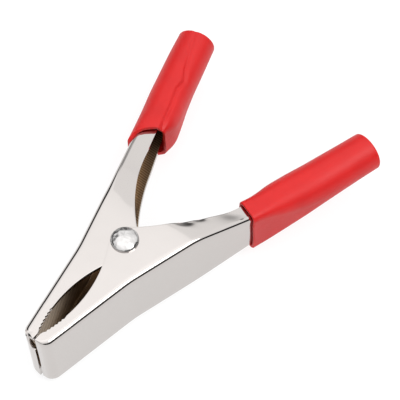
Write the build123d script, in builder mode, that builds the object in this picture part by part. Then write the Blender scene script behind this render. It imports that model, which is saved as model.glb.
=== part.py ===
from build123d import *

import os
from math import acos, atan2, cos, degrees, radians, sin

os.makedirs("parts", exist_ok=True)

# Driving dimensions, in millimetres. The plan of one half is laid out from the pivot: x runs along
# the clip's centre line towards the handles and y runs outwards, so the nose has negative x.
SHEET = 0.8
SLIP = 0.05
HALF_HEIGHT = 16.15
BEND_RADIUS = 1.1

NOSE_X = -25.7
NOSE_HALF_WIDTH = 2.6
NOSE_RADIUS = 1.8
JAW_BEND = (-6.0, 6.6)
KINK = (8.4, 10.95)
MOUTH_CORNER = (19.6, 15.1)

BITE_START_X = -24.2
BITE_END_X = -6.2
BITE_DEPTH = 1.9
BITE_GAP = 0.15
TOOTH_COUNT = 6
TOOTH_PITCH = 0.8
TOOTH_DEPTH = 0.3
EAR_RADIUS = 2.85
CROTCH_X = 3.6
HANDLE_INNER_MID = (10.0, 5.8)
HANDLE_INNER_MOUTH = (20.4, 11.0)
MOUTH_HEIGHT = 10.75
TANG_HEIGHT = 4.6

SLEEVE_ANGLE = 18.5
SLEEVE_END = (49.3, 22.05)
SLEEVE_LENGTH = 31.0
SLEEVE_RADIUS = 4.0
SLEEVE_WALL = 0.7
TANG_LENGTH = 16.0
TANG_OUTER = 2.4
TANG_INNER = -0.7
TUBE_START = 19.5
MOUTH_AT = 0.4
MOUTH_SPACE = (-1.65, 2.95, 11.1)
TANG_SPACE = (-1.05, 2.75, 5.9)
GRIP_ROUND = 1.15
EDGE_ROUND = 0.2
OBLIQUE_REACH = 3.8

RIVET_RADIUS = 1.5
HEAD_RADIUS = 2.7
HEAD_HEIGHT = 1.2
DOME_MID = (1.62, 0.864)
TAIL_RADIUS = 2.3
TAIL_HEIGHT = 0.55

WIRE_RADIUS = 0.55
COIL_RADIUS = 2.5
COIL_PITCH = 1.35
COIL_WHOLE_TURNS = 4
LEG_REACH_X = 13.5
LEG_REACH_Y = 11.25

# Clearances and overruns of the cutting shapes.
PAST_EAR = 6.0
PAST_END = 3.0

# Places that follow from the driving dimensions. The row's frame has its origin under the middle of
# the whole clip, so the pivot stands at PIVOT_X and the lower flange lies FLANGE_FLOOR above the bench.
SLEEVE_DIR = Vector(cos(radians(SLEEVE_ANGLE)), sin(radians(SLEEVE_ANGLE)))
SLEEVE_SIDE = Vector(-SLEEVE_DIR.Y, SLEEVE_DIR.X)
FAR_X = SLEEVE_END[0] + SLEEVE_RADIUS * SLEEVE_DIR.Y
PIVOT_X = -(NOSE_X + FAR_X) / 2
FLANGE_FLOOR = TAIL_HEIGHT + SLIP
LEAF_STEP = SHEET + SLIP
CLIP_HEIGHT = HALF_HEIGHT + LEAF_STEP
MID_Z = FLANGE_FLOOR + CLIP_HEIGHT / 2
HALF_MID_Z = FLANGE_FLOOR + HALF_HEIGHT / 2
CLIP_AXIS = Axis((0, 0, MID_Z), (1, 0, 0))


def plan_at(height):
    """The plan's plane, with its origin on the pivot axis, at a height above the bench."""
    return Plane((PIVOT_X, 0, height))


def handle_point(along, outwards):
    """A plan point by its distance from the sleeve's mouth and its distance from the sleeve's axis."""
    back = along - SLEEVE_LENGTH
    end = Vector(*SLEEVE_END)
    return end + SLEEVE_DIR * back + SLEEVE_SIDE * outwards


def handle_section(along):
    """The plane across the left handle: x points outwards, away from the other handle, and y up."""
    place = handle_point(along, 0)
    origin = (PIVOT_X + place.X, place.Y, HALF_MID_Z)
    return Plane(origin, x_dir=(SLEEVE_SIDE.X, SLEEVE_SIDE.Y, 0), z_dir=(SLEEVE_DIR.X, SLEEVE_DIR.Y, 0))


def across(x):
    """The plane across the whole clip at x, with the half's middle height as its origin."""
    return Plane((PIVOT_X + x, 0, HALF_MID_Z), x_dir=(0, 1, 0), z_dir=(1, 0, 0))


def folded_block(stations, radius):
    """Joins channel sections, each given by its x, web place and height, with rounded folds."""
    with BuildPart() as block:
        for x, web, height in stations:
            with BuildSketch(across(x)):
                with BuildLine():
                    low, high = -height / 2, height / 2
                    channel = FilletPolyline(
                        (-PAST_EAR, low), (web, low), (web, high), (-PAST_EAR, high), radius=radius
                    )
                    Line(channel @ 1, channel @ 0)
                make_face()
        loft(ruled=True)
    return block.part


def ear_touch(start_x):
    """Where the line from (start_x, 0) touches the ear's circle, inside the other half."""
    turn = acos(EAR_RADIUS / abs(start_x))
    return Vector(EAR_RADIUS * cos(turn) * abs(start_x) / start_x, -EAR_RADIUS * sin(turn))


# Left half. The outside block and the space inside it follow the same stations.
web_step = SHEET / cos(radians(SLEEVE_ANGLE))
tang_web = handle_point(TANG_LENGTH + PAST_END, TANG_OUTER)
stations = [
    (NOSE_X, NOSE_HALF_WIDTH, HALF_HEIGHT),
    (*JAW_BEND, HALF_HEIGHT),
    (*KINK, HALF_HEIGHT),
    (*MOUTH_CORNER, MOUTH_HEIGHT),
    (tang_web.X, tang_web.Y, TANG_HEIGHT),
]
space_stations = [(x, web - web_step, height - 2 * SHEET) for x, web, height in stations]
space_stations[0] = (NOSE_X + SHEET, *space_stations[0][1:])
half_skin = folded_block(stations, BEND_RADIUS)
half_space = folded_block(space_stations, BEND_RADIUS - SHEET)

bite_low = Vector(BITE_START_X, BITE_GAP)
bite_high = Vector(BITE_END_X, 0)
bite_deep = Vector((BITE_START_X + BITE_END_X) / 2, BITE_DEPTH)
ear_front = ear_touch(BITE_END_X)
ear_back = ear_touch(CROTCH_X)
tang_outer = handle_point(TANG_LENGTH, TANG_OUTER + PAST_END)
tang_inner = handle_point(TANG_LENGTH, TANG_INNER)

with BuildPart() as jaw_left:
    add(half_skin)
    add(half_space, mode=Mode.SUBTRACT)
    with BuildSketch(plan_at(FLANGE_FLOOR)):
        with BuildLine():
            Line((NOSE_X, SLIP), bite_low)
            bite = ThreePointArc(bite_low, bite_deep, bite_high)
            Line(bite_high, ear_front)
            ThreePointArc(ear_front, (0, -EAR_RADIUS), ear_back)
            Line(ear_back, (CROTCH_X, 0))
            ThreePointArc((CROTCH_X, 0), HANDLE_INNER_MID, HANDLE_INNER_MOUTH)
            Polyline(HANDLE_INNER_MOUTH, tang_inner, tang_outer, (JAW_BEND[0], tang_outer.Y), JAW_BEND)
            FilletPolyline(JAW_BEND, (NOSE_X, NOSE_HALF_WIDTH), (NOSE_X, SLIP), radius=NOSE_RADIUS)
        make_face()
    extrude(amount=HALF_HEIGHT, mode=Mode.INTERSECT)
    with BuildSketch(plan_at(FLANGE_FLOOR)):
        Circle(RIVET_RADIUS + SLIP)
    extrude(amount=HALF_HEIGHT, mode=Mode.SUBTRACT)
    with BuildSketch(plan_at(FLANGE_FLOOR)):
        tooth_step = TOOTH_PITCH / bite.length
        for tooth in range(TOOTH_COUNT):
            root = bite @ ((tooth + 1) * tooth_step)
            with Locations(root):
                Polygon(
                    (-TOOTH_PITCH / 2, -TOOTH_DEPTH),
                    (0, TOOTH_DEPTH),
                    (TOOTH_PITCH / 2, -TOOTH_DEPTH),
                    align=None,
                )
    extrude(amount=HALF_HEIGHT, mode=Mode.SUBTRACT)
jaw_left.part.label = "jaw_left"

# The other half is the same stamping, turned half round the clip's centre line.
with BuildPart() as jaw_right:
    add(jaw_left.part.rotate(CLIP_AXIS, 180))
jaw_right.part.label = "jaw_right"


def sleeve_body(wall, overrun):
    """The space inside the sleeve, run past both ends, or with the wall put on its outer shape."""
    tube = SLEEVE_RADIUS - SLEEVE_WALL
    grip_sections = [
        (MOUTH_AT - overrun, *MOUTH_SPACE, GRIP_ROUND, EDGE_ROUND),
        (TANG_LENGTH, *TANG_SPACE, GRIP_ROUND, EDGE_ROUND),
        (TUBE_START, -tube, tube, 2 * tube, tube - SLIP, tube - SLIP),
    ]
    with BuildPart() as body:
        for along, inner, outer, height, web_round, edge_round in grip_sections:
            top = height / 2 + wall
            with BuildSketch(handle_section(along)):
                with BuildLine():
                    FilletPolyline(
                        (inner - wall, -top),
                        (outer + wall, -top),
                        (outer + wall, top),
                        (inner - wall, top),
                        close=True,
                        radius=[r + wall for r in (edge_round, web_round, web_round, edge_round)],
                    )
                make_face()
        loft(ruled=True)
        with BuildSketch(handle_section(TUBE_START)):
            Circle(tube + wall)
        extrude(amount=SLEEVE_LENGTH - TUBE_START + overrun)
    return body.part


with BuildPart() as sleeve:
    add(sleeve_body(SLEEVE_WALL, 0))
    add(sleeve_body(0, SLIP), mode=Mode.SUBTRACT)

# The left sleeve's mouth is cut at a slant, its inner side further up the handle.
slant_foot = handle_section(MOUTH_AT) * Pos(MOUTH_SPACE[1] + SLEEVE_WALL, 0, 0)
slant_way = handle_point(OBLIQUE_REACH, MOUTH_SPACE[0]) - handle_point(MOUTH_AT, MOUTH_SPACE[1])
slant = Plane(slant_foot.position, x_dir=(slant_way.X, slant_way.Y, 0), z_dir=(-slant_way.Y, slant_way.X, 0))
with BuildPart() as sleeve_left:
    add(sleeve.part)
    split(bisect_by=slant, keep=Keep.TOP)
sleeve_left.part.label = "sleeve_left"

with BuildPart() as sleeve_right:
    add(sleeve.part.rotate(CLIP_AXIS, 180))
sleeve_right.part.label = "sleeve_right"

# Rivet: a shank through all four flanges, a low dome above and a clinched button below.
head_floor = FLANGE_FLOOR + CLIP_HEIGHT
with BuildPart() as rivet:
    with BuildSketch(Plane((PIVOT_X, 0, 0), x_dir=(1, 0, 0), z_dir=(0, -1, 0))):
        with BuildLine():
            dome = ThreePointArc(
                (0, head_floor + HEAD_HEIGHT),
                (DOME_MID[0], head_floor + DOME_MID[1]),
                (HEAD_RADIUS, head_floor),
            )
            Polyline(
                dome @ 1,
                (RIVET_RADIUS, head_floor),
                (RIVET_RADIUS, TAIL_HEIGHT),
                (TAIL_RADIUS, TAIL_HEIGHT),
                (TAIL_RADIUS - TAIL_HEIGHT, 0),
                (0, 0),
                dome @ 0,
            )
        make_face()
    revolve(axis=Axis((PIVOT_X, 0, 0), (0, 0, 1)))
rivet.part.label = "rivet"

# Spring: whole turns round the rivet, ended by two straight legs along the insides of the webs.
leg_foot = Vector(LEG_REACH_X, LEG_REACH_Y)
leg_turn = atan2(leg_foot.Y, leg_foot.X) + acos(COIL_RADIUS / leg_foot.length)
leg_start = Vector(cos(leg_turn), sin(leg_turn)) * COIL_RADIUS
leg_length = (leg_foot.length**2 - COIL_RADIUS**2) ** 0.5
coil_turns = COIL_WHOLE_TURNS + 1 - degrees(leg_turn) / 180
coil_height = COIL_PITCH * coil_turns
coil_foot = Plane((PIVOT_X, 0, MID_Z - coil_height / 2), x_dir=leg_start, z_dir=(0, 0, 1))
coil = coil_foot * Helix(COIL_PITCH, coil_height, COIL_RADIUS)
with BuildPart() as spring:
    with BuildSketch(Plane(coil @ 0, z_dir=coil % 0)):
        Circle(WIRE_RADIUS)
    sweep(path=coil)
    for root, way in ((coil @ 0, -(coil % 0)), (coil @ 1, coil % 1)):
        with BuildSketch(Plane(root, z_dir=way)):
            Circle(WIRE_RADIUS)
        extrude(amount=leg_length)
spring.part.label = "spring"

for piece in (jaw_left, jaw_right, sleeve_left, sleeve_right, rivet, spring):
    export_step(piece.part, f"parts/{piece.part.label}.step")
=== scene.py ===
"""Looks of a spring alligator clip: folded nickel-plated halves, rivet, torsion spring and vinyl sleeves.

Sizes of the pieces are in mm. Both halves and both sleeves are given as the left ones lie: x runs from the
pivot towards the handles, y away from the centre line, and z up from that half's own middle height.
"""
import logging
import math
from collections.abc import Callable, Mapping, Sequence
from dataclasses import dataclass, field
from enum import Enum
from typing import TypeVar

import bpy
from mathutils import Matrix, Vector


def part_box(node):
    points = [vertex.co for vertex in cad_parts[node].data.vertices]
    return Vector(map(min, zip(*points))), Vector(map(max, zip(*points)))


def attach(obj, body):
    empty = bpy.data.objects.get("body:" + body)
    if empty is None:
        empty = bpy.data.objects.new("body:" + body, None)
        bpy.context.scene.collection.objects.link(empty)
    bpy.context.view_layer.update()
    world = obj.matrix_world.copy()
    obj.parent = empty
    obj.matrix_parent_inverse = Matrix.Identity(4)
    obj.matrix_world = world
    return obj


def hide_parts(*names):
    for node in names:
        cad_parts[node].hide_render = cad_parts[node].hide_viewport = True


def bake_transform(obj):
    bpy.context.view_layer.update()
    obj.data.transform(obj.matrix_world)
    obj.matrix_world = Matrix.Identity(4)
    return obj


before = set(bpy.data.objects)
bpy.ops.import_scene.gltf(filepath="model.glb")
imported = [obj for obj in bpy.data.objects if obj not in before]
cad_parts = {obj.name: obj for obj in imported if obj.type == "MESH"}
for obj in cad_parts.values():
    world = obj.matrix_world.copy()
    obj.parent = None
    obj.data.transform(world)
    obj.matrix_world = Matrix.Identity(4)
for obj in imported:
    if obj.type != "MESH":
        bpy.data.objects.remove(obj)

Piece = bpy.types.Object
Material = bpy.types.Material
Tree = bpy.types.NodeTree
Node = bpy.types.Node
Socket = bpy.types.NodeSocket
Pair = tuple[float, float]
Triple = tuple[float, float, float]
Knots = tuple[Pair, ...]
Rows = tuple[tuple[float, ...], ...]
Value = TypeVar("Value")

MM = 0.001
LOG = logging.getLogger("clip")
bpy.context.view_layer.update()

# The Mix node's colour sockets stand after its number and vector ones.
MIX_FIRST, MIX_SECOND, MIX_RESULT = 6, 7, 2
# Solidify's offset that puts all the thickness behind the outer face.
INWARDS = -1.0
# The Wave node turns through this many radians in a metre at a scale of one.
WAVE_RADIANS = 20


# ---------------------------------------------------------------- places taken from the frame


def pivot_point() -> Vector:
    """Finds the middle of the rivet, halfway between the two flange planes.

    Returns:
        The point, in metres.
    """
    low, high = (Vector(corner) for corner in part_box("rivet"))
    left_low, right_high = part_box("jaw_left")[0][2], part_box("jaw_right")[1][2]
    return Vector(((low.x + high.x) / 2, (low.y + high.y) / 2, (left_low + right_high) / 2))


PIVOT = pivot_point()
# How far the left half's middle height lies above the pivot point, in mm.
LEFT_LIFT = ((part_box("jaw_left")[0][2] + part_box("jaw_left")[1][2]) / 2 - PIVOT.z) / MM


class Side(Enum):
    """The two halves: the right one is the left one turned half round the clip's centre line."""

    LEFT = "left"
    RIGHT = "right"

    @property
    def body(self) -> str:
        """Name of the CAD body that this half moves with."""
        return "swinging_half" if self is Side.LEFT else "fixed_half"

    def choose(self, left: Value, right: Value) -> Value:
        """Returns the value that belongs to this half."""
        return left if self is Side.LEFT else right

    def place(self, x: float, y: float, z: float) -> Vector:
        """Puts a point of the left half, in mm, where it lies on this half, in metres."""
        turn = self.choose(1, -1)
        return PIVOT + Vector((x, turn * y, turn * (z + LEFT_LIFT))) * MM


# ---------------------------------------------------------------- numbers and curves


def linear(hex_colour: str) -> tuple[float, float, float, float]:
    """Turns an sRGB hex colour into linear values.

    Args:
        hex_colour: six hex digits.

    Returns:
        Linear red, green and blue, and an alpha of one.
    """
    values = [int(hex_colour[i : i + 2], 16) / 255 for i in (0, 2, 4)]
    bent = [v / 12.92 if v <= 0.04045 else ((v + 0.055) / 1.055) ** 2.4 for v in values]
    return (*bent, 1.0)


def chord(x: float, knots: Sequence[Pair]) -> float:
    """Reads a line of straight runs, carried on past its ends.

    Args:
        x: where to read it.
        knots: the line's corners, from left to right.

    Returns:
        The line's height at x.
    """
    for (x0, y0), (x1, y1) in zip(knots, knots[1:]):
        if x <= x1 or (x1, y1) == knots[-1]:
            return y0 + (y1 - y0) * (x - x0) / (x1 - x0)
    return knots[-1][1]


def eased(
    x: float, knots: Sequence[Pair], reach: float, picks: int = 4, ends: Sequence[float] = ()
) -> float:
    """Reads a line of straight runs with its corners softened, as the mean of several readings.

    Args:
        x: where to read it.
        knots: the line's corners, from left to right.
        reach: how far to each side the readings go.
        picks: readings on each side.
        ends: lowest and highest place to read at, where the line isn't carried on.

    Returns:
        The softened line's height at x.
    """
    places = [x + reach * k / picks for k in range(-picks, picks + 1)]
    if ends:
        places = [min(ends[1], max(ends[0], place)) for place in places]
    return sum(chord(place, knots) for place in places) / len(places)


def bow(x: float, start: Pair, middle: Pair, end: Pair) -> float:
    """Reads the circle's arc through three points.

    Args:
        x: where to read it.
        start: the arc's first point.
        middle: a point that the arc passes through.
        end: the arc's last point.

    Returns:
        The arc's height at x.
    """
    (ax, ay), (bx, by), (cx, cy) = start, middle, end
    turn = 2 * (ax * (by - cy) + bx * (cy - ay) + cx * (ay - by))
    a2, b2, c2 = ax * ax + ay * ay, bx * bx + by * by, cx * cx + cy * cy
    ox = (a2 * (by - cy) + b2 * (cy - ay) + c2 * (ay - by)) / turn
    oy = (a2 * (cx - bx) + b2 * (ax - cx) + c2 * (bx - ax)) / turn
    radius = math.hypot(ax - ox, ay - oy)
    rise = math.sqrt(max(0.0, radius**2 - (x - ox) ** 2))
    return oy + (rise if by > oy else -rise)


def span(start: float, end: float, step: float) -> list[float]:
    """Even places from start up to but not including end, about a step apart."""
    count = max(1, round((end - start) / step))
    return [start + (end - start) * i / count for i in range(count)]


def ease(value: float, start: float, end: float) -> float:
    """Smooth climb from zero to one between two values."""
    t = min(1.0, max(0.0, (value - start) / (end - start)))
    return t * t * (3 - 2 * t)


def crowd(t: float, pull: float) -> float:
    """Moves a place between 0 and 1 towards its nearer end, or away from it at a negative pull."""
    return t - pull * math.sin(2 * math.pi * t) / math.pi


# ---------------------------------------------------------------- mesh and node helpers


def add_node(tree: Tree, kind: str, settings: dict[str, object] | None = None, **links: Socket) -> Node:
    """Adds one node with its settings and its incoming links.

    Args:
        tree: the node tree that the node joins.
        kind: the node's type name.
        settings: attributes of the node, or values of its inputs, by name.
        **links: output sockets by the input's name, or by an underscore and the input's number.

    Returns:
        The new node.
    """
    node = tree.nodes.new(kind)
    for name, value in (settings or {}).items():
        if hasattr(node, name):
            setattr(node, name, value)
        else:
            node.inputs[name].default_value = value
    for name, source in links.items():
        tree.links.new(source, node.inputs[int(name[1:]) if name[0] == "_" else name])
    return node


def deselect() -> None:
    """Clears the selection, so that the next operator acts on nothing it shouldn't."""
    bpy.ops.object.select_all(action="DESELECT")


def pick(piece: Piece) -> None:
    """Makes one piece the only selected and active object.

    Args:
        piece: the object to act on.
    """
    deselect()
    piece.select_set(True)
    bpy.context.view_layer.objects.active = piece


def apply_modifier(piece: Piece, kind: str, **settings: object) -> None:
    """Adds a modifier to a piece and applies it at once.

    Args:
        piece: the mesh object.
        kind: the modifier's type name.
        **settings: the modifier's attributes.
    """
    pick(piece)
    modifier = piece.modifiers.new(kind.lower(), kind)
    for name, value in settings.items():
        setattr(modifier, name, value)
    bpy.ops.object.modifier_apply(modifier=modifier.name)


def smooth(piece: Piece, angle: float) -> None:
    """Shades a piece smooth, apart from its sharp edges, and keeps its large faces flat.

    Args:
        piece: the mesh object.
        angle: edges sharper than this, in degrees, stay sharp.
    """
    pick(piece)
    bpy.ops.object.shade_smooth_by_angle(angle=math.radians(angle))
    piece.modifiers.new("flat_faces_stay_flat", "WEIGHTED_NORMAL").keep_sharp = True
    bpy.ops.object.modifier_apply(modifier="flat_faces_stay_flat")


def face_out(piece: Piece, merge: float = 0.0) -> None:
    """Merges a piece's doubled points and turns its faces outwards.

    Args:
        piece: the mesh object.
        merge: points closer than this, in mm, become one.
    """
    pick(piece)
    bpy.ops.object.mode_set(mode="EDIT")
    bpy.ops.mesh.select_all(action="SELECT")
    if merge > 0:
        bpy.ops.mesh.remove_doubles(threshold=merge * MM)
    bpy.ops.mesh.normals_make_consistent(inside=False)
    bpy.ops.object.mode_set(mode="OBJECT")


def blank(name: str, rows: int, columns: int) -> Piece:
    """Lays out a flat sheet of rows by columns faces, ready to be folded.

    Args:
        name: the piece's name.
        rows: faces along X.
        columns: faces along Y.

    Returns:
        The new grid, whose points lie at whole numbers from the origin.
    """
    deselect()
    bpy.ops.mesh.primitive_grid_add(x_subdivisions=rows, y_subdivisions=columns, size=2)
    sheet = bpy.context.active_object
    sheet.name = name
    bpy.ops.object.mode_set(mode="EDIT")
    bpy.ops.mesh.select_all(action="SELECT")
    bpy.ops.transform.resize(value=(rows / 2, columns / 2, 1))
    bpy.ops.transform.translate(value=(rows / 2, columns / 2, 0))
    bpy.ops.object.mode_set(mode="OBJECT")
    return sheet


def fold(sheet: Piece, place: Callable[[int, int], Vector]) -> None:
    """Moves each point of a blank to its place.

    Args:
        sheet: a grid made by blank.
        place: gives a point's place, in metres, from its row and column.
    """
    for point in sheet.data.vertices:
        point.co = place(round(point.co.x), round(point.co.y))
    sheet.data.update()


# ---------------------------------------------------------------- finishes


def start_finish(name: str) -> tuple[Material, Tree, Node]:
    """Starts a material.

    Args:
        name: the finish's own name.

    Returns:
        The material, its node tree and its shader.
    """
    finish = bpy.data.materials.new(name)
    finish.use_nodes = True
    return finish, finish.node_tree, finish.node_tree.nodes["Principled BSDF"]


@dataclass(frozen=True)
class NickelPlate:
    """Bright nickel on rolled steel strip: a warm mirror, softened by the strip's own fine grain."""

    colour: str = "C3BEBB"
    roughness: float = 0.07
    # The real grain is finer: it is drawn this coarse so that it shows.
    grain_mm: float = 0.35
    ripple_mm: float = 11.0
    ripple_depth_mm: float = 0.16
    grain_depth_mm: float = 0.004

    def material(self) -> Material:
        """Makes the plated outside: faint waves of the press and a fine grain in its gloss.

        Returns:
            The material.
        """
        finish, tree, shader = start_finish("nickel_plate")
        shader.inputs["Base Color"].default_value = linear(self.colour)
        shader.inputs["Metallic"].default_value = 1.0
        where = add_node(tree, "ShaderNodeTexCoord").outputs["Object"]
        ripple_size = {"Scale": 1 / (self.ripple_mm * MM), "Detail": 2.0}
        grain_size = {"Scale": 1 / (self.grain_mm * MM), "Detail": 3.0}
        cloud = add_node(tree, "ShaderNodeTexNoise", ripple_size, Vector=where)
        grain = add_node(tree, "ShaderNodeTexNoise", grain_size, Vector=where)
        gloss_range = {
            "From Min": 0.3, "From Max": 0.7, "To Min": self.roughness * 0.8, "To Max": self.roughness * 1.35
        }
        gloss = add_node(tree, "ShaderNodeMapRange", gloss_range, Value=grain.outputs["Fac"])
        tree.links.new(gloss.outputs["Result"], shader.inputs["Roughness"])
        wave_size = {"Strength": 0.5, "Distance": self.ripple_depth_mm * MM}
        waves = add_node(tree, "ShaderNodeBump", wave_size, Height=cloud.outputs["Fac"])
        fine = add_node(
            tree,
            "ShaderNodeBump",
            {"Strength": 0.15, "Distance": self.grain_depth_mm * MM},
            Height=grain.outputs["Fac"],
            Normal=waves.outputs["Normal"],
        )
        tree.links.new(fine.outputs["Normal"], shader.inputs["Normal"])
        return finish


@dataclass(frozen=True)
class ShadedDrawnInside:
    """Inside of the folded strip: the same plate painted darker and brownish as the shade inside the channel,
    with the draw marks of the press.
    """

    # Both colours are painted shade: the plate made darker and brownish, as the channel's inside looks in
    # shade.
    bright: str = "B8A48C"
    dark: str = "85715B"
    roughness: float = 0.34
    # The real marks are closer together: they are drawn this coarse so that they show.
    mark_mm: float = 0.45
    mark_depth_mm: float = 0.02

    def material(self) -> Material:
        """Makes the inside finish: the plate in painted shade, darker and brownish, with close marks across
        the strip, satin rather than bright.

        Returns:
            The material.
        """
        finish, tree, shader = start_finish("shaded_drawn_inside")
        shader.inputs["Metallic"].default_value = 1.0
        shader.inputs["Roughness"].default_value = self.roughness
        where = add_node(tree, "ShaderNodeTexCoord").outputs["Object"]
        bands = {"wave_type": "BANDS", "bands_direction": "X", "Distortion": 2.0, "Detail": 2.0}
        marks = add_node(tree, "ShaderNodeTexWave", bands, Vector=where)
        marks.inputs["Scale"].default_value = 2 * math.pi / (WAVE_RADIANS * self.mark_mm * MM)
        # The marks mix the two painted-shade colours of the plate.
        tint = add_node(tree, "ShaderNodeMix", {"data_type": "RGBA"}, _0=marks.outputs["Fac"])
        tint.inputs[MIX_FIRST].default_value = linear(self.dark)
        tint.inputs[MIX_SECOND].default_value = linear(self.bright)
        tree.links.new(tint.outputs[MIX_RESULT], shader.inputs["Base Color"])
        mark_size = {"Strength": 0.3, "Distance": self.mark_depth_mm * MM}
        dents = add_node(tree, "ShaderNodeBump", mark_size, Height=marks.outputs["Fac"])
        tree.links.new(dents.outputs["Normal"], shader.inputs["Normal"])
        return finish


@dataclass(frozen=True)
class RivetSteel:
    """Soft steel rivet, its dome dimpled by the setting tool, under a satin gloss."""

    colour: str = "C9C7C6"
    roughness: float = 0.24
    dimple_mm: float = 0.9
    dimple_depth_mm: float = 0.12
    rub_depth_mm: float = 0.015

    def material(self) -> Material:
        """Makes the dimpled steel: broad shallow facets under a satin gloss.

        Returns:
            The material.
        """
        finish, tree, shader = start_finish("rivet_steel")
        shader.inputs["Base Color"].default_value = linear(self.colour)
        shader.inputs["Metallic"].default_value = 1.0
        shader.inputs["Roughness"].default_value = self.roughness
        where = add_node(tree, "ShaderNodeTexCoord").outputs["Object"]
        fine_size = {"Scale": 4 / (self.dimple_mm * MM), "Detail": 3.0}
        facets = add_node(tree, "ShaderNodeTexVoronoi", {"Scale": 1 / (self.dimple_mm * MM)}, Vector=where)
        fine = add_node(tree, "ShaderNodeTexNoise", fine_size, Vector=where)
        dimple_size = {"Strength": 0.7, "Distance": self.dimple_depth_mm * MM}
        hammered = add_node(tree, "ShaderNodeBump", dimple_size, Height=facets.outputs["Distance"])
        rubbed = add_node(
            tree,
            "ShaderNodeBump",
            {"Strength": 0.35, "Distance": self.rub_depth_mm * MM},
            Height=fine.outputs["Fac"],
            Normal=hammered.outputs["Normal"],
        )
        tree.links.new(rubbed.outputs["Normal"], shader.inputs["Normal"])
        return finish


@dataclass(frozen=True)
class SpringWire:
    """Drawn music wire, dark and oiled, its gloss a little uneven from the die."""

    colour: str = "7E7A74"
    gloss: Pair = (0.2, 0.42)
    # The real marks of the die are finer: they are drawn this coarse so that they show.
    line_mm: float = 0.12

    def material(self) -> Material:
        """Makes the wire's finish: grey steel with a slightly uneven gloss.

        Returns:
            The material.
        """
        finish, tree, shader = start_finish("spring_wire")
        shader.inputs["Base Color"].default_value = linear(self.colour)
        shader.inputs["Metallic"].default_value = 1.0
        where = add_node(tree, "ShaderNodeTexCoord").outputs["Object"]
        lines = add_node(tree, "ShaderNodeTexNoise", {"Scale": 1 / (self.line_mm * MM)}, Vector=where)
        gloss_range = {"To Min": self.gloss[0], "To Max": self.gloss[1]}
        gloss = add_node(tree, "ShaderNodeMapRange", gloss_range, Value=lines.outputs["Fac"])
        tree.links.new(gloss.outputs["Result"], shader.inputs["Roughness"])
        return finish


@dataclass(frozen=True)
class SoftVinyl:
    """Plasticised PVC, dip moulded: a saturated red with a soft gloss and a faintly pebbled skin."""

    colour: str = "D31A19"
    shade: str = "BC1112"
    gloss: Pair = (0.4, 0.54)
    # The real pebbles are finer: they are drawn this coarse so that they show.
    pebble_mm: float = 0.5
    pebble_depth_mm: float = 0.02
    cloud_mm: float = 6.0
    cloud_depth_mm: float = 0.3
    light_reach_mm: float = 1.2

    def material(self) -> Material:
        """Makes the vinyl: slow colour variation, broad highlights and a little light under the skin.

        Returns:
            The material.
        """
        finish, tree, shader = start_finish("soft_vinyl")
        shader.inputs["IOR"].default_value = 1.53
        shader.inputs["Specular IOR Level"].default_value = 0.34
        shader.inputs["Subsurface Weight"].default_value = 0.15
        shader.inputs["Subsurface Scale"].default_value = self.light_reach_mm * MM
        where = add_node(tree, "ShaderNodeTexCoord").outputs["Object"]
        cloud_size = {"Scale": 1 / (self.cloud_mm * MM), "Detail": 3.0}
        pebble_size = {"Scale": 1 / (self.pebble_mm * MM), "Detail": 2.0}
        cloud = add_node(tree, "ShaderNodeTexNoise", cloud_size, Vector=where)
        pebble = add_node(tree, "ShaderNodeTexNoise", pebble_size, Vector=where)
        tint = add_node(tree, "ShaderNodeMix", {"data_type": "RGBA"}, _0=cloud.outputs["Fac"])
        tint.inputs[MIX_FIRST].default_value = linear(self.shade)
        tint.inputs[MIX_SECOND].default_value = linear(self.colour)
        tree.links.new(tint.outputs[MIX_RESULT], shader.inputs["Base Color"])
        gloss_range = {"To Min": self.gloss[0], "To Max": self.gloss[1]}
        gloss = add_node(tree, "ShaderNodeMapRange", gloss_range, Value=pebble.outputs["Fac"])
        tree.links.new(gloss.outputs["Result"], shader.inputs["Roughness"])
        skin_size = {"Strength": 0.25, "Distance": self.pebble_depth_mm * MM}
        skin = add_node(tree, "ShaderNodeBump", skin_size, Height=pebble.outputs["Fac"])
        slow = add_node(
            tree,
            "ShaderNodeBump",
            {"Strength": 0.4, "Distance": self.cloud_depth_mm * MM},
            Height=cloud.outputs["Fac"],
            Normal=skin.outputs["Normal"],
        )
        tree.links.new(slow.outputs["Normal"], shader.inputs["Normal"])
        return finish


@dataclass(frozen=True)
class PaleSweep:
    """Matt white paper laid under the clip, bright enough to lose its edges."""

    colour: str = "828282"
    glow: float = 0.8

    def material(self) -> Material:
        """Makes the paper's finish.

        Returns:
            The material.
        """
        finish, _, shader = start_finish("pale_sweep")
        shader.inputs["Base Color"].default_value = linear(self.colour)
        shader.inputs["Roughness"].default_value = 0.95
        shader.inputs["Specular IOR Level"].default_value = 0.1
        shader.inputs["Emission Color"].default_value = (1.0, 1.0, 1.0, 1.0)
        shader.inputs["Emission Strength"].default_value = self.glow
        return finish


# ---------------------------------------------------------------- folded halves


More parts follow.
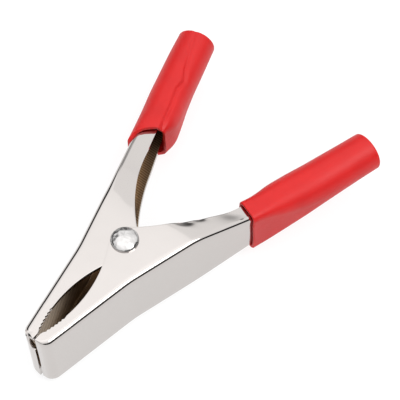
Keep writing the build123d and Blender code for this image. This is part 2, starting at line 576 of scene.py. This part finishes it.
@dataclass
class JawHalf:
    """One stamping: flange, web and flange folded from a single strip."""

    side: Side
    sheet: float = 0.8
    edge_break: float = 0.08
    fold_radius: float = 1.1
    fold_share: float = 0.45
    hole_radius: float = 1.55
    drift_length: float = 32.3

    # The web's outer face in plan, the flanges' outer faces, and how far their bends are softened.
    web: Knots = ((-25.7, 2.95), (-6.0, 6.65), (8.4, 10.95), (19.6, 15.1), (37.0, 20.45))
    web_end: float = 34.2
    web_softening: float = 1.4
    heights: Knots = ((-25.7, 8.075), (8.4, 8.075), (19.6, 5.375), (37.0, 2.3))
    left_softening: float = 4.5
    right_softening: float = 1.6

    # The nose, where the web turns in; the left blank has a corner relief cut in it.
    nose_x: float = -25.7
    nose_radius: float = 2.0
    nose_gap: float = 0.36
    nose_wave: float = 0.2
    nose_inset: float = 0.25
    relief: float = 4.4
    relief_dip: float = 0.44
    relief_lip: float = 0.1
    # Shares of the way round the nose between which these fade or grow.
    relief_end: float = 0.7
    lip_growth: Pair = (0.5, 0.9)
    dip_fade: Pair = (0.3, 0.9)
    wave_fade: Pair = (0.0, 0.4)

    # The flanges' free edge: bite with its teeth, ear round the rivet, crotch and handle.
    edge_gap: float = 0.04
    bite: Pair = (-24.2, -6.2)
    bite_depth: float = 1.9
    teeth: Pair = (-23.6, -19.2)
    tooth_pitch: float = 0.8
    tooth_depth: float = 0.2
    ear: float = 2.85
    crotch_x: float = 3.6
    handle_inner: Knots = ((3.6, 0.0), (10.0, 5.8), (20.4, 11.0))
    tang_inner: Pair = (35.0, 16.55)
    handle_trim: float = 0.55
    trim_start: Pair = (8.0, 18.0)

    # Shallow dips left by the press: along, in from the free edge, radius and depth.
    left_dips: Rows = ((9.0, 1.0, 2.0, 0.06),)
    right_dips: Rows = ((10.1, -0.2, 1.35, 0.42), (12.8, -0.5, 1.05, 0.3), (18.2, 0.3, 2.2, 0.34))

    # How finely the blank is divided. The rows' steps are for the jaw before its teeth, the jaw behind them,
    # the ear, the bent handle and the straight one.
    flange_faces: int = 24
    fold_faces: int = 6
    web_faces: int = 10
    nose_faces: int = 12
    nose_step: float = 0.25
    row_steps: tuple[float, ...] = (0.3, 0.7, 0.28, 0.4, 1.4)
    flange_crowding: float = -0.18
    web_crowding: float = 0.16

    @property
    def relieved(self) -> bool:
        """Whether this half's blank has the corner relief at the nose."""
        return self.side is Side.LEFT

    def dip(self, x: float, y: float) -> float:
        """Finds how deep the press has marked a flange.

        Args:
            x: the flange's point, along.
            y: the flange's point, outwards.

        Returns:
            The depth below the flat flange.
        """
        across = y - self.inner_edge(x)
        depth = 0.0
        for along, inside, radius, full in self.side.choose(self.left_dips, self.right_dips):
            depth += full * math.exp(-(((x - along) / radius) ** 2) - (((across - inside) / radius) ** 2))
        return depth

    def web_at(self, x: float) -> float:
        """Outer face of the web at x, its bends eased."""
        return eased(x, self.web, self.web_softening)

    def height_at(self, x: float) -> float:
        """Outer face of the flanges at x, their bends eased."""
        return eased(x, self.heights, self.side.choose(self.left_softening, self.right_softening))

    def tooth(self, x: float) -> float:
        """Finds the serration's depth at x.

        Args:
            x: place along the jaw.

        Returns:
            The depth, which is zero between the teeth's gullets and away from them.
        """
        first, last = self.teeth
        if not first <= x <= last:
            return 0.0
        phase = (x - first) / self.tooth_pitch % 1.0
        return self.tooth_depth * (1 - abs(2 * phase - 1))

    def inner_edge(self, x: float) -> float:
        """Reads the flanges' free edge: bite, ear, crotch, then the handle's inner curve.

        Args:
            x: place along the half.

        Returns:
            The free edge's distance outwards.
        """
        first, last = self.bite
        nose = self.nose_gap + self.edge_gap
        touch = [self.ear**2 / x0 for x0 in (last, self.crotch_x)]
        low = [-math.sqrt(self.ear**2 - t * t) for t in touch]
        if x < first:
            return nose
        if x < last:
            return bow(x, (first, nose), ((first + last) / 2, self.bite_depth), (last, 0.0)) + self.tooth(x)
        if x < touch[0]:
            return low[0] * (x - last) / (touch[0] - last)
        if x <= touch[1]:
            return -math.sqrt(self.ear**2 - x * x)
        if x < self.crotch_x:
            return low[1] * (self.crotch_x - x) / (self.crotch_x - touch[1])
        trim = self.side.choose(0.0, self.handle_trim) * ease(x, *self.trim_start)
        if x < self.handle_inner[-1][0]:
            return bow(x, *self.handle_inner) + trim
        return chord(x, [self.handle_inner[-1], self.tang_inner]) + trim

    def stations(self) -> list[tuple[Vector, Vector, float]]:
        """Walks the web's outline from the nose's free edge to the tang.

        Returns:
            For each row, the web's point, the flange's free edge opposite it, and how far round the
            nose the row lies, from 0 at the free edge to 1 where the web runs straight.
        """
        (x0, y0), (x1, y1) = self.web[0], self.web[1]
        turn = math.pi / 2 - math.atan2(y1 - y0, x1 - x0)
        start_y = y0 - self.nose_radius * math.tan(turn / 2)
        centre = Vector((self.nose_x + self.nose_radius, start_y))
        nose = [Vector((self.nose_x, y)) for y in span(self.nose_gap, start_y, self.nose_step)]
        for i in range(self.nose_faces + 1):
            angle = math.pi - turn * i / self.nose_faces
            nose.append(centre + Vector((math.cos(angle), math.sin(angle))) * self.nose_radius)
        count = len(nose) - 1
        end_x = nose[-1].x
        outline = []
        for i, point in enumerate(nose):
            x = self.nose_x + self.nose_inset + (end_x - self.nose_x - self.nose_inset) * i / count
            outline.append((point, Vector((x, self.inner_edge(x))), i / count))
        front, behind, ear, bent, straight = self.row_steps
        # Where each stretch starts, and how far apart its rows stand.
        stretches = (
            (end_x, front),
            (self.teeth[0], self.tooth_pitch / 2),
            (self.teeth[1], behind),
            (self.bite[1], ear),
            (self.crotch_x, bent),
            (self.handle_inner[-1][0], straight),
            (self.web_end, 0.0),
        )
        rows = []
        for (start, step), (end, _) in zip(stretches, stretches[1:]):
            rows += span(start, end, step)
        for x in rows[1:] + [self.web_end]:
            outline.append((Vector((x, self.web_at(x))), Vector((x, self.inner_edge(x))), 1.0))
        return outline

    def flange(self, web: Vector, edge: Vector, reach: float, drop: float) -> list[Vector]:
        """Lays out one flange from its free edge to its fold.

        Args:
            web: the web's outer point in plan.
            edge: the flange's free edge in plan.
            reach: how far from the web the flange ends.
            drop: how far the flange bends down towards that end.

        Returns:
            Points of the upper flange's outer face.
        """
        height = self.height_at(web.x)
        end = web + (edge - web).normalized() * reach
        row = []
        for i in range(self.flange_faces + 1):
            t = crowd(i / self.flange_faces, self.flange_crowding)
            spot = edge + (end - edge) * t
            row.append(Vector((spot.x, spot.y, height - drop * ease(t, 0.4, 1.0) - self.dip(*spot))))
        return row

    def section(self, web: Vector, edge: Vector, round_nose: float) -> list[Vector]:
        """Cross-section of the strip at one station, from the upper free edge to the lower one.

        Args:
            web: the web's outer point in plan.
            edge: the flange's free edge in plan.
            round_nose: how far round the nose the station lies.

        Returns:
            Points of the strip's outer face.
        """
        height = self.height_at(web.x)
        across = edge - web
        radius = min(self.fold_radius, self.fold_share * across.length)
        reach, drop, relief = radius, 0.0, 0.0
        if self.relieved:
            reach = self.relief_lip + (radius - self.relief_lip) * ease(round_nose, *self.lip_growth)
            drop = self.relief_dip * (1 - ease(round_nose, *self.dip_fade))
            relief = self.relief * (1 - ease(round_nose, 0.0, self.relief_end))
        fold_line = []
        for i in range(1, self.fold_faces):
            angle = math.pi / 2 * i / self.fold_faces
            spot = web + across.normalized() * (radius * (1 - math.sin(angle)))
            fold_line.append(Vector((spot.x, spot.y, height - radius * (1 - math.cos(angle)))))
        wave = self.side.choose(-1, 1) * (1 - ease(round_nose, *self.wave_fade)) * self.nose_wave
        tallest = self.heights[0][1]
        high, low = height - radius - relief, radius - height
        wall = []
        for i in range(self.web_faces + 1):
            z = high + (low - high) * crowd(i / self.web_faces, self.web_crowding)
            wall.append(Vector((web.x, web.y + wave * math.cos(math.pi * z / (2 * tallest)), z)))
        whole = self.flange(web, edge, radius, 0.0) + fold_line
        lower = [Vector((p.x, p.y, -p.z)) for p in reversed(whole)]
        return self.flange(web, edge, reach, drop) + fold_line + wall + lower

    def build(self) -> Piece:
        """Folds the strip, gives it its thickness, punches the rivet hole and breaks its edges.

        Returns:
            The finished half.
        """
        outline = self.stations()
        sections = [self.section(*station) for station in outline]
        strip = blank(f"{self.side.value}_jaw_strip", len(outline) - 1, len(sections[0]) - 1)
        fold(strip, lambda i, j: self.side.place(*sections[i][j]))
        if self.relieved:
            self.open_nose(strip, [round_nose for _, _, round_nose in outline])
        face_out(strip)
        self.face_web_out(strip)
        # The second finish goes on the inner faces: the plate painted darker and brownish as shade.
        for finish in (NickelPlate().material(), ShadedDrawnInside().material()):
            strip.data.materials.append(finish)
        apply_modifier(
            strip,
            "SOLIDIFY",
            thickness=self.sheet * MM,
            offset=INWARDS,
            material_offset=1,
            use_quality_normals=True,
        )
        self.punch(strip)
        apply_modifier(
            strip,
            "BEVEL",
            width=self.edge_break * MM,
            segments=2,
            limit_method="ANGLE",
            angle_limit=math.radians(55),
            use_clamp_overlap=True,
        )
        smooth(strip, angle=35)
        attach(strip, self.side.body)
        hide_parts(f"jaw_{self.side.value}")
        return strip

    def open_nose(self, strip: Piece, round_nose: list[float]) -> None:
        """Cuts the corner relief: takes away the upper fold where the nose turns in.

        Args:
            strip: the folded blank, before it gets its thickness.
            round_nose: how far round the nose each of its rows lies.
        """
        fold_columns = range(self.flange_faces, self.flange_faces + self.fold_faces)
        rows = len(round_nose)
        pick(strip)
        bpy.ops.object.mode_set(mode="EDIT")
        bpy.ops.mesh.select_mode(type="FACE")
        bpy.ops.mesh.select_all(action="DESELECT")
        bpy.ops.object.mode_set(mode="OBJECT")
        for face in strip.data.polygons:
            column, row = divmod(min(face.vertices), rows)
            if round_nose[row] < self.relief_end and column in fold_columns:
                face.select = True
        bpy.ops.object.mode_set(mode="EDIT")
        bpy.ops.mesh.delete(type="FACE")
        bpy.ops.mesh.select_mode(type="VERT")
        bpy.ops.object.mode_set(mode="OBJECT")

    def face_web_out(self, strip: Piece) -> None:
        """Turns the whole sheet over if its web doesn't face away from the clip's centre line.

        Args:
            strip: the folded blank, before it gets its thickness.
        """
        web = max(strip.data.polygons, key=lambda face: face.area * abs(face.normal.y))
        if web.normal.y * (web.center.y - PIVOT.y) < 0:
            pick(strip)
            bpy.ops.object.mode_set(mode="EDIT")
            bpy.ops.mesh.select_all(action="SELECT")
            bpy.ops.mesh.flip_normals()
            bpy.ops.object.mode_set(mode="OBJECT")

    def punch(self, strip: Piece) -> None:
        """Punches the rivet's hole through both flanges.

        Args:
            strip: the half, with its thickness.
        """
        deselect()
        bpy.ops.mesh.primitive_cylinder_add(
            vertices=48, radius=self.hole_radius * MM, depth=self.drift_length * MM, location=PIVOT
        )
        drift = bpy.context.active_object
        apply_modifier(strip, "BOOLEAN", operation="DIFFERENCE", solver="EXACT", object=drift)
        bpy.data.objects.remove(drift, do_unlink=True)


# ---------------------------------------------------------------- vinyl sleeves


@dataclass
class HandleSleeve:
    """One dip-moulded sleeve: a boxy mouth round the steel that runs out into a round tube.

    Distances along are from the mouth, and out is away from the other handle.
    """

    side: Side
    angle: float = 18.5
    end: Pair = (49.3, 22.05)
    length: float = 31.0
    tube_radius: float = 4.0
    wall: float = 0.7
    lip_radius: float = 0.22

    # Rows of along, reach outwards, reach inwards, half height and corner radius.
    left_profile: Rows = (
        (0.0, 3.62, 2.3, 6.2, 2.2),
        (2.5, 3.62, 2.3, 5.95, 2.2),
        (5.2, 3.7, 2.5, 5.5, 2.3),
        (7.4, 3.85, 3.95, 5.3, 2.8),
        (10.0, 4.1, 4.1, 4.95, 3.5),
        (15.0, 4.4, 3.85, 4.5, 3.9),
        (19.0, 4.4, 3.8, 4.2, 4.0),
        (25.0, 4.3, 3.95, 4.1, 4.05),
        (28.5, 4.15, 4.0, 4.05, 4.0),
        (31.0, 3.95, 4.0, 4.0, 3.9),
    )
    right_profile: Rows = (
        (0.0, 3.66, 1.75, 6.15, 1.3),
        (1.6, 3.6, 1.6, 6.1, 1.3),
        (4.0, 3.8, 1.75, 5.9, 1.6),
        (8.0, 4.3, 2.95, 5.4, 2.9),
        (13.0, 4.6, 3.5, 4.75, 3.6),
        (17.0, 4.62, 3.65, 4.3, 3.95),
        (22.0, 4.4, 3.85, 4.1, 4.0),
        (27.0, 4.15, 3.95, 4.0, 3.95),
        (31.0, 3.98, 4.0, 4.0, 3.95),
    )
    softening: float = 1.2

    # The left mouth is cut back on its inward side, the right one is nearly square.
    left_mouth: float = 0.4
    cut_depth: float = 4.9
    cut_shape: float = 0.75
    cut_start: float = 3.75
    cut_width: float = 6.0
    cut_lean: float = 0.04
    right_mouth: float = 0.75
    mouth_wave: float = 0.12
    wave_radians: float = 0.5
    end_slant: float = 0.5

    # The pressed line along the left sleeve: its route as along and out, and its groove.
    crease_line: Knots = (
        (4.8, -2.1), (7.7, -1.8), (11.8, -1.7), (16.1, -1.35), (18.4, -2.0), (21.0, -1.25), (30.0, 0.0)
    )
    crease_depth: float = 0.34
    crease_width: float = 0.42
    crease_loss: float = 0.6
    crease_fade: Pair = (20.0, 29.0)

    points: int = 192
    ring_step: float = 0.4
    halvings: int = 24
    known: dict[float, list[float]] = field(default_factory=dict)

    def sizes(self, along: float) -> list[float]:
        """Reads the profile with its steps eased, to the nearest tenth of a millimetre.

        Args:
            along: distance from the mouth.

        Returns:
            Reach outwards, reach inwards, half height and corner radius.
        """
        along = round(along, 1)
        if along not in self.known:
            rows = self.side.choose(self.left_profile, self.right_profile)
            ends = (0.0, self.length)
            columns = [[(row[0], row[k]) for row in rows] for k in range(1, len(rows[0]))]
            self.known[along] = [eased(along, knots, self.softening, 3, ends) for knots in columns]
        return self.known[along]

    def mouth(self, out: float, up: float) -> float:
        """Finds how far the mouth's cut is set back.

        Args:
            out: place in the section, outwards.
            up: place in the section, upwards.

        Returns:
            The distance along at which the sleeve starts there.
        """
        if self.side is Side.RIGHT:
            return self.right_mouth + self.mouth_wave * math.sin(self.wave_radians * up)
        inwards = min(1.0, max(0.0, (self.cut_start - out) / self.cut_width))
        cut = self.cut_depth * math.sin(math.pi / 2 * inwards) ** self.cut_shape
        return self.left_mouth + cut - self.cut_lean * inwards * up

    def crease(self, along: float, out: float, up: float) -> float:
        """Finds the depth of the pressed line on the left sleeve's top.

        Args:
            along: distance from the mouth.
            out: place in the section, outwards.
            up: place in the section, upwards.

        Returns:
            The depth towards the sleeve's axis.
        """
        if self.side is Side.RIGHT or up < 0:
            return 0.0
        off_line = (out - chord(along, self.crease_line)) / self.crease_width
        strength = self.crease_depth * (1 - self.crease_loss * ease(along, *self.crease_fade))
        return strength * math.exp(-(off_line**2))

    def rim(self, along: float, turn: float) -> Pair:
        """Finds where a ray from the sleeve's axis meets its rounded section, by halving.

        Args:
            along: distance from the mouth.
            turn: the ray's angle, 0 outwards and a quarter turn upwards.

        Returns:
            The point's distances outwards and upwards.
        """
        far, near, half, radius = self.sizes(along)
        cos, sin = math.cos(turn), math.sin(turn)
        reach = far if cos > 0 else near
        radius = min(radius, reach, half)
        low, high = 0.0, 3 * self.tube_radius
        for _ in range(self.halvings):
            middle = (low + high) / 2
            x, y = abs(middle * cos) - (reach - radius), abs(middle * sin) - (half - radius)
            outside = math.hypot(max(x, 0.0), max(y, 0.0)) + min(max(x, y), 0.0) > radius
            low, high = (low, middle) if outside else (middle, high)
        return low * cos, low * sin

    def spot(self, ring: float, turn: float) -> Vector:
        """Finds a point of the sleeve's outer face.

        Args:
            ring: place along the sleeve, 0 at the mouth and 1 at the end.
            turn: angle round the section, 0 outwards and a quarter turn upwards.

        Returns:
            The point, in mm.
        """
        along = ring * self.length
        out, up = 0.0, 0.0
        # The cuts at both ends depend on the section, and the section on the cuts, so it goes round twice.
        for _ in range(2):
            out, up = self.rim(along, turn)
            inward_share = (self.tube_radius - out) / (2 * self.tube_radius)
            slant = self.side.choose(0.0, self.end_slant) * ring**3 * inward_share
            along = self.mouth(out, up) * (1 - ring) ** 2 + ring * self.length - slant
        kept = 1 - self.crease(along, out, up) / math.hypot(out, up)
        out, up = out * kept, up * kept
        way = Vector((math.cos(math.radians(self.angle)), math.sin(math.radians(self.angle))))
        back = along - self.length
        x, y = self.end[0] + way.x * back - way.y * out, self.end[1] + way.y * back + way.x * out
        return Vector((x, y, up))

    def build(self) -> Piece:
        """Draws the tube over the handle, gives it its wall and rounds both lips.

        Returns:
            The finished sleeve.
        """
        rings = round(self.length / self.ring_step)
        tube = blank(f"{self.side.value}_handle_sleeve", rings, self.points)
        fold(tube, lambda i, j: self.side.place(*self.spot(i / rings, 2 * math.pi * j / self.points)))
        face_out(tube, merge=0.01)
        tube.data.materials.append(SoftVinyl().material())
        apply_modifier(tube, "SOLIDIFY", thickness=self.wall * MM, offset=INWARDS, use_even_offset=True)
        apply_modifier(
            tube,
            "BEVEL",
            width=self.lip_radius * MM,
            segments=3,
            limit_method="ANGLE",
            angle_limit=math.radians(50),
        )
        smooth(tube, angle=60)
        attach(tube, self.side.body)
        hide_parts(f"sleeve_{self.side.value}")
        return tube


# ---------------------------------------------------------------- rivet and spring


@dataclass
class HammeredRivet:
    """Solid rivet: a low dome above, a shank, and a flat clinched button below."""

    # The button's outline, as radius and height above its base.
    button: Knots = ((0.0, 0.0), (1.4, 0.0), (1.85, 0.06), (2.16, 0.22), (2.3, 0.42), (2.24, 0.55))
    shank: float = 1.5
    dome_radius: float = 2.7
    dome_height: float = 1.18
    dome_steps: int = 14
    dome_fullness: float = 0.92
    rim: float = 0.16
    rim_chamfer: Pair = (0.1, 0.06)
    # The dimples begin at the first distance from the middle, and are full at the second.
    dimple_edge: Pair = (2.6, 1.6)
    dimple_depth: float = 0.03

    def outline(self, base: float, top: float) -> list[Pair]:
        """Lays out half the rivet's section, from the button's middle to the dome's.

        Args:
            base: height of the button's base.
            top: height of the face that the dome sits on.

        Returns:
            Radius and height of each point.
        """
        cut_in, cut_up = self.rim_chamfer
        line = [(radius, base + up) for radius, up in self.button]
        line += [(self.shank, base + self.button[-1][1]), (self.shank, top)]
        line += [(self.dome_radius - cut_in, top), (self.dome_radius, top + cut_up)]
        line.append((self.dome_radius, top + self.rim))
        for i in range(1, self.dome_steps + 1):
            angle = math.pi / 2 * i / self.dome_steps
            radius = self.dome_radius * math.cos(angle) ** self.dome_fullness
            line.append((radius, top + self.rim + (self.dome_height - self.rim) * math.sin(angle)))
        return line

    def build(self) -> Piece:
        """Spins the rivet's outline round the pivot, then dimples the dome.

        Returns:
            The finished rivet.
        """
        base, top = -PIVOT.z / MM, (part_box("jaw_right")[1][2] - PIVOT.z) / MM
        line = self.outline(base, top)
        deselect()
        bpy.ops.mesh.primitive_plane_add(size=1, location=(0, 0, 0))
        rivet = bpy.context.active_object
        rivet.name = "hammered_rivet"
        bpy.ops.object.mode_set(mode="EDIT")
        bpy.ops.mesh.select_all(action="SELECT")
        bpy.ops.mesh.merge(type="CENTER")
        bpy.ops.transform.translate(value=PIVOT + Vector((line[0][0], 0, line[0][1])) * MM)
        for (r0, z0), (r1, z1) in zip(line, line[1:]):
            move = ((r1 - r0) * MM, 0, (z1 - z0) * MM)
            bpy.ops.mesh.extrude_vertices_move(TRANSFORM_OT_translate={"value": move})
        bpy.ops.mesh.select_all(action="SELECT")
        bpy.ops.mesh.spin(steps=72, angle=2 * math.pi, center=PIVOT, axis=(0, 0, 1))
        bpy.ops.object.mode_set(mode="OBJECT")
        face_out(rivet, merge=0.004)
        self.dimple(rivet, PIVOT.z + (top + self.rim) * MM)
        rivet.data.materials.append(RivetSteel().material())
        smooth(rivet, angle=45)
        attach(rivet, "fixed_half")
        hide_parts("rivet")
        return rivet

    def dimple(self, rivet: Piece, floor: float) -> None:
        """Lets the setting tool's uneven face show in the dome, as two sets of crossed waves.

        Args:
            rivet: the rivet's mesh object.
            floor: height in metres above which its points are moved.
        """
        for point in rivet.data.vertices:
            if point.co.z > floor:
                x, y = (point.co.x - PIVOT.x) / MM, (point.co.y - PIVOT.y) / MM
                wave = math.sin(2.3 * x + 0.6) * math.sin(2.7 * y - 0.4) + 0.6 * math.sin(4.1 * x - 1.9 * y)
                fade = ease(math.hypot(x, y), *self.dimple_edge)
                point.co.z -= self.dimple_depth * MM * (1 + wave) * fade


@dataclass
class TorsionSpring:
    """Torsion spring coiled on the rivet, its two straight legs along the insides of the webs."""

    wire: float = 0.55
    coil: float = 2.5
    pitch: float = 1.35
    whole_turns: int = 4
    foot: Pair = (13.5, 11.25)
    per_turn: int = 24
    leg_points: int = 8

    def path(self) -> list[Vector]:
        """Walks the wire's centre line: leg, coil, leg.

        Returns:
            Points in mm from the pivot.
        """
        foot = Vector(self.foot)
        first = math.atan2(foot.y, foot.x) + math.acos(self.coil / foot.length)
        turns = self.whole_turns + 1 - math.degrees(first) / 180
        rise = self.pitch * turns
        slope = self.pitch / (2 * math.pi * self.coil)
        leg = math.sqrt(foot.length**2 - self.coil**2)
        count = round(turns * self.per_turn)
        points = []
        for i in range(count + 1):
            angle = first + 2 * math.pi * turns * i / count
            height = rise * (i / count - 0.5)
            points.append(Vector((self.coil * math.cos(angle), self.coil * math.sin(angle), height)))
        start_way = Vector((-math.sin(first), math.cos(first), slope)).normalized()
        last = first + 2 * math.pi * turns
        end_way = Vector((-math.sin(last), math.cos(last), slope)).normalized()
        steps = range(1, self.leg_points + 1)
        before = [points[0] - start_way * leg * k / self.leg_points for k in reversed(steps)]
        after = [points[-1] + end_way * leg * k / self.leg_points for k in steps]
        return before + points + after

    def build(self) -> Piece:
        """Draws the wire along its path and closes its cut ends.

        Returns:
            The finished spring.
        """
        deselect()
        bpy.ops.curve.primitive_bezier_circle_add(radius=1)
        spring = bpy.context.active_object
        spring.name = "torsion_spring"
        wire = spring.data
        wire.splines.clear()
        line = wire.splines.new("POLY")
        path = self.path()
        line.points.add(len(path) - 1)
        for knot, place in zip(line.points, path):
            knot.co = (*(PIVOT + place * MM), 1.0)
        wire.dimensions = "3D"
        wire.bevel_depth = self.wire * MM
        wire.bevel_resolution = 4
        wire.use_fill_caps = True
        pick(spring)
        bpy.ops.object.convert(target="MESH")
        face_out(spring, merge=0.002)
        spring.data.materials.clear()
        spring.data.materials.append(SpringWire().material())
        smooth(spring, angle=50)
        half = max(abs(p.z) for p in path[self.leg_points : -self.leg_points])
        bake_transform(spring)
        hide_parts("spring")
        return spring


# ---------------------------------------------------------------- studio


@dataclass(frozen=True)
class Panel:
    """One soft panel that faces the clip: its power in watts, and its size and place in metres."""

    name: str
    power: float
    size: Pair
    place: Triple


@dataclass
class Studio:
    """Pale sweep, soft light, the room and the camera. Sizes in metres, angles in degrees."""

    azimuth: float = -51.67
    elevation: float = 59.62
    distance: float = 0.28566
    focal_mm: float = 126.0
    sensor_mm: float = 36.0
    aim: Triple = (0.02334, 0.00054, -0.0085)
    floor_size: float = 3.0
    floor_gap: float = 0.0002
    panels: tuple[Panel, ...] = (
        Panel("overhead", 0.5, (1.0, 1.0), (0.1, 0.5, 0.9)),
        Panel("key", 3.3, (0.36, 0.36), (0.13, -0.48, 0.865)),
    )
    # The room's glow by height, from the horizon to straight above.
    room: Knots = (
        (0.0, 0.6), (0.3, 0.45), (0.45, 1.0), (0.6, 1.25),
        (0.75, 1.27), (0.87, 1.38), (0.95, 1.65), (1.0, 1.7),
    )
    # Dark cards that the bright steel mirrors: a card lies where all its steps, from nought to one, are up.
    cards: tuple[tuple[tuple[str, float, float], ...], ...] = (
        (("Z", 0.0, 0.05), ("Z", 0.58, 0.52), ("Y", -0.45, -0.6)),
        (("Z", 0.0, 0.05), ("Z", 0.66, 0.6), ("Y", 0.55, 0.65), ("X", 0.45, 0.35)),
        (("Z", 0.0, 0.05), ("Z", 0.6, 0.4), ("Y", 0.42, 0.62), ("X", 0.5, 0.6)),
    )
    card_glow: float = 0.04

    def floor(self) -> None:
        """Lays the sweep under the clip."""
        deselect()
        bpy.ops.mesh.primitive_plane_add(size=self.floor_size, location=(0, 0, -self.floor_gap))
        sweep = bpy.context.active_object
        sweep.name = "sweep"
        sweep.data.materials.append(PaleSweep().material())

    def camera(self) -> None:
        """Stands the camera at its angle and distance, level, aimed beside the clip's middle."""
        aim = PIVOT + Vector(self.aim)
        tilt, turn = math.radians(self.elevation), math.radians(self.azimuth)
        back = Vector((math.sin(turn) * math.cos(tilt), -math.cos(turn) * math.cos(tilt), math.sin(tilt)))
        deselect()
        bpy.ops.object.camera_add(location=aim + back * self.distance)
        camera = bpy.context.active_object
        camera.rotation_euler = (-back).to_track_quat("-Z", "Y").to_euler()
        camera.data.lens = self.focal_mm
        camera.data.sensor_width = self.sensor_mm
        camera.data.clip_start = 0.01
        bpy.context.scene.camera = camera

    def hang(self, panel: Panel) -> None:
        """Hangs one soft panel that faces the clip.

        Args:
            panel: the panel's power, size and place.
        """
        deselect()
        bpy.ops.object.light_add(type="AREA", location=panel.place)
        lamp = bpy.context.active_object
        lamp.name = panel.name
        lamp.data.shape = "RECTANGLE"
        lamp.data.size, lamp.data.size_y = panel.size
        lamp.data.energy = panel.power
        lamp.rotation_euler = (-Vector(panel.place)).to_track_quat("-Z", "Y").to_euler()

    def card_mask(self, tree: Tree, way: Mapping[str, Socket]) -> Socket:
        """Marks the parts of the room that the dark cards cover.

        Args:
            tree: the room's node tree.
            way: the sockets of the direction looked in, by axis.

        Returns:
            The socket of a value that is one on a card and nought elsewhere.
        """
        mask = None
        for steps in self.cards:
            card = None
            for axis, nought, one in steps:
                slope = {"interpolation_type": "SMOOTHSTEP", "From Min": nought, "From Max": one}
                edge = add_node(tree, "ShaderNodeMapRange", slope, Value=way[axis]).outputs["Result"]
                if card is not None:
                    both = {"operation": "MULTIPLY"}
                    edge = add_node(tree, "ShaderNodeMath", both, _0=card, _1=edge).outputs[0]
                card = edge
            if mask is not None:
                card = add_node(tree, "ShaderNodeMath", {"operation": "MAXIMUM"}, _0=mask, _1=card).outputs[0]
            mask = card
        return mask

    def light(self) -> None:
        """Hangs the panels and paints the room that the steel mirrors; the camera sees plain white."""
        for panel in self.panels:
            self.hang(panel)
        world = bpy.data.worlds.new("room")
        bpy.context.scene.world = world
        world.use_nodes = True
        tree = world.node_tree
        tree.nodes.clear()
        look = add_node(tree, "ShaderNodeTexCoord").outputs["Generated"]
        way = add_node(tree, "ShaderNodeSeparateXYZ", None, Vector=look).outputs
        sky = add_node(tree, "ShaderNodeValToRGB", None, Fac=way["Z"])
        ramp = sky.color_ramp
        while len(ramp.elements) < len(self.room):
            ramp.elements.new(1.0)
        for stop, (height, glow) in zip(ramp.elements, self.room):
            stop.position = height
            stop.color = (glow, glow, glow, 1.0)
        mix = {"data_type": "RGBA"}
        flagged = add_node(tree, "ShaderNodeMix", mix, _0=self.card_mask(tree, way), _6=sky.outputs["Color"])
        flagged.inputs[MIX_SECOND].default_value = (self.card_glow, self.card_glow, self.card_glow, 1.0)
        seen = add_node(tree, "ShaderNodeLightPath").outputs["Is Camera Ray"]
        backdrop = add_node(tree, "ShaderNodeMix", mix, _0=seen, _6=flagged.outputs[MIX_RESULT])
        backdrop.inputs[MIX_SECOND].default_value = (1.0, 1.0, 1.0, 1.0)
        shade = add_node(tree, "ShaderNodeBackground", None, Color=backdrop.outputs[MIX_RESULT])
        add_node(tree, "ShaderNodeOutputWorld", None, Surface=shade.outputs["Background"])

    def build(self) -> None:
        """Sets up the floor, the light and the camera."""
        self.floor()
        self.light()
        self.camera()
        bpy.context.scene.view_settings.view_transform = "Standard"


def main() -> None:
    """Builds the studio and the clip, and reports each piece."""
    Studio().build()
    makers = [JawHalf(side) for side in Side] + [HandleSleeve(side) for side in Side]
    for maker in makers + [HammeredRivet(), TorsionSpring()]:
        piece = maker.build()
        LOG.info("%s: %d faces", piece.name, len(piece.data.polygons))


if __name__ == "__main__":
    logging.basicConfig(level=logging.INFO)
    main()
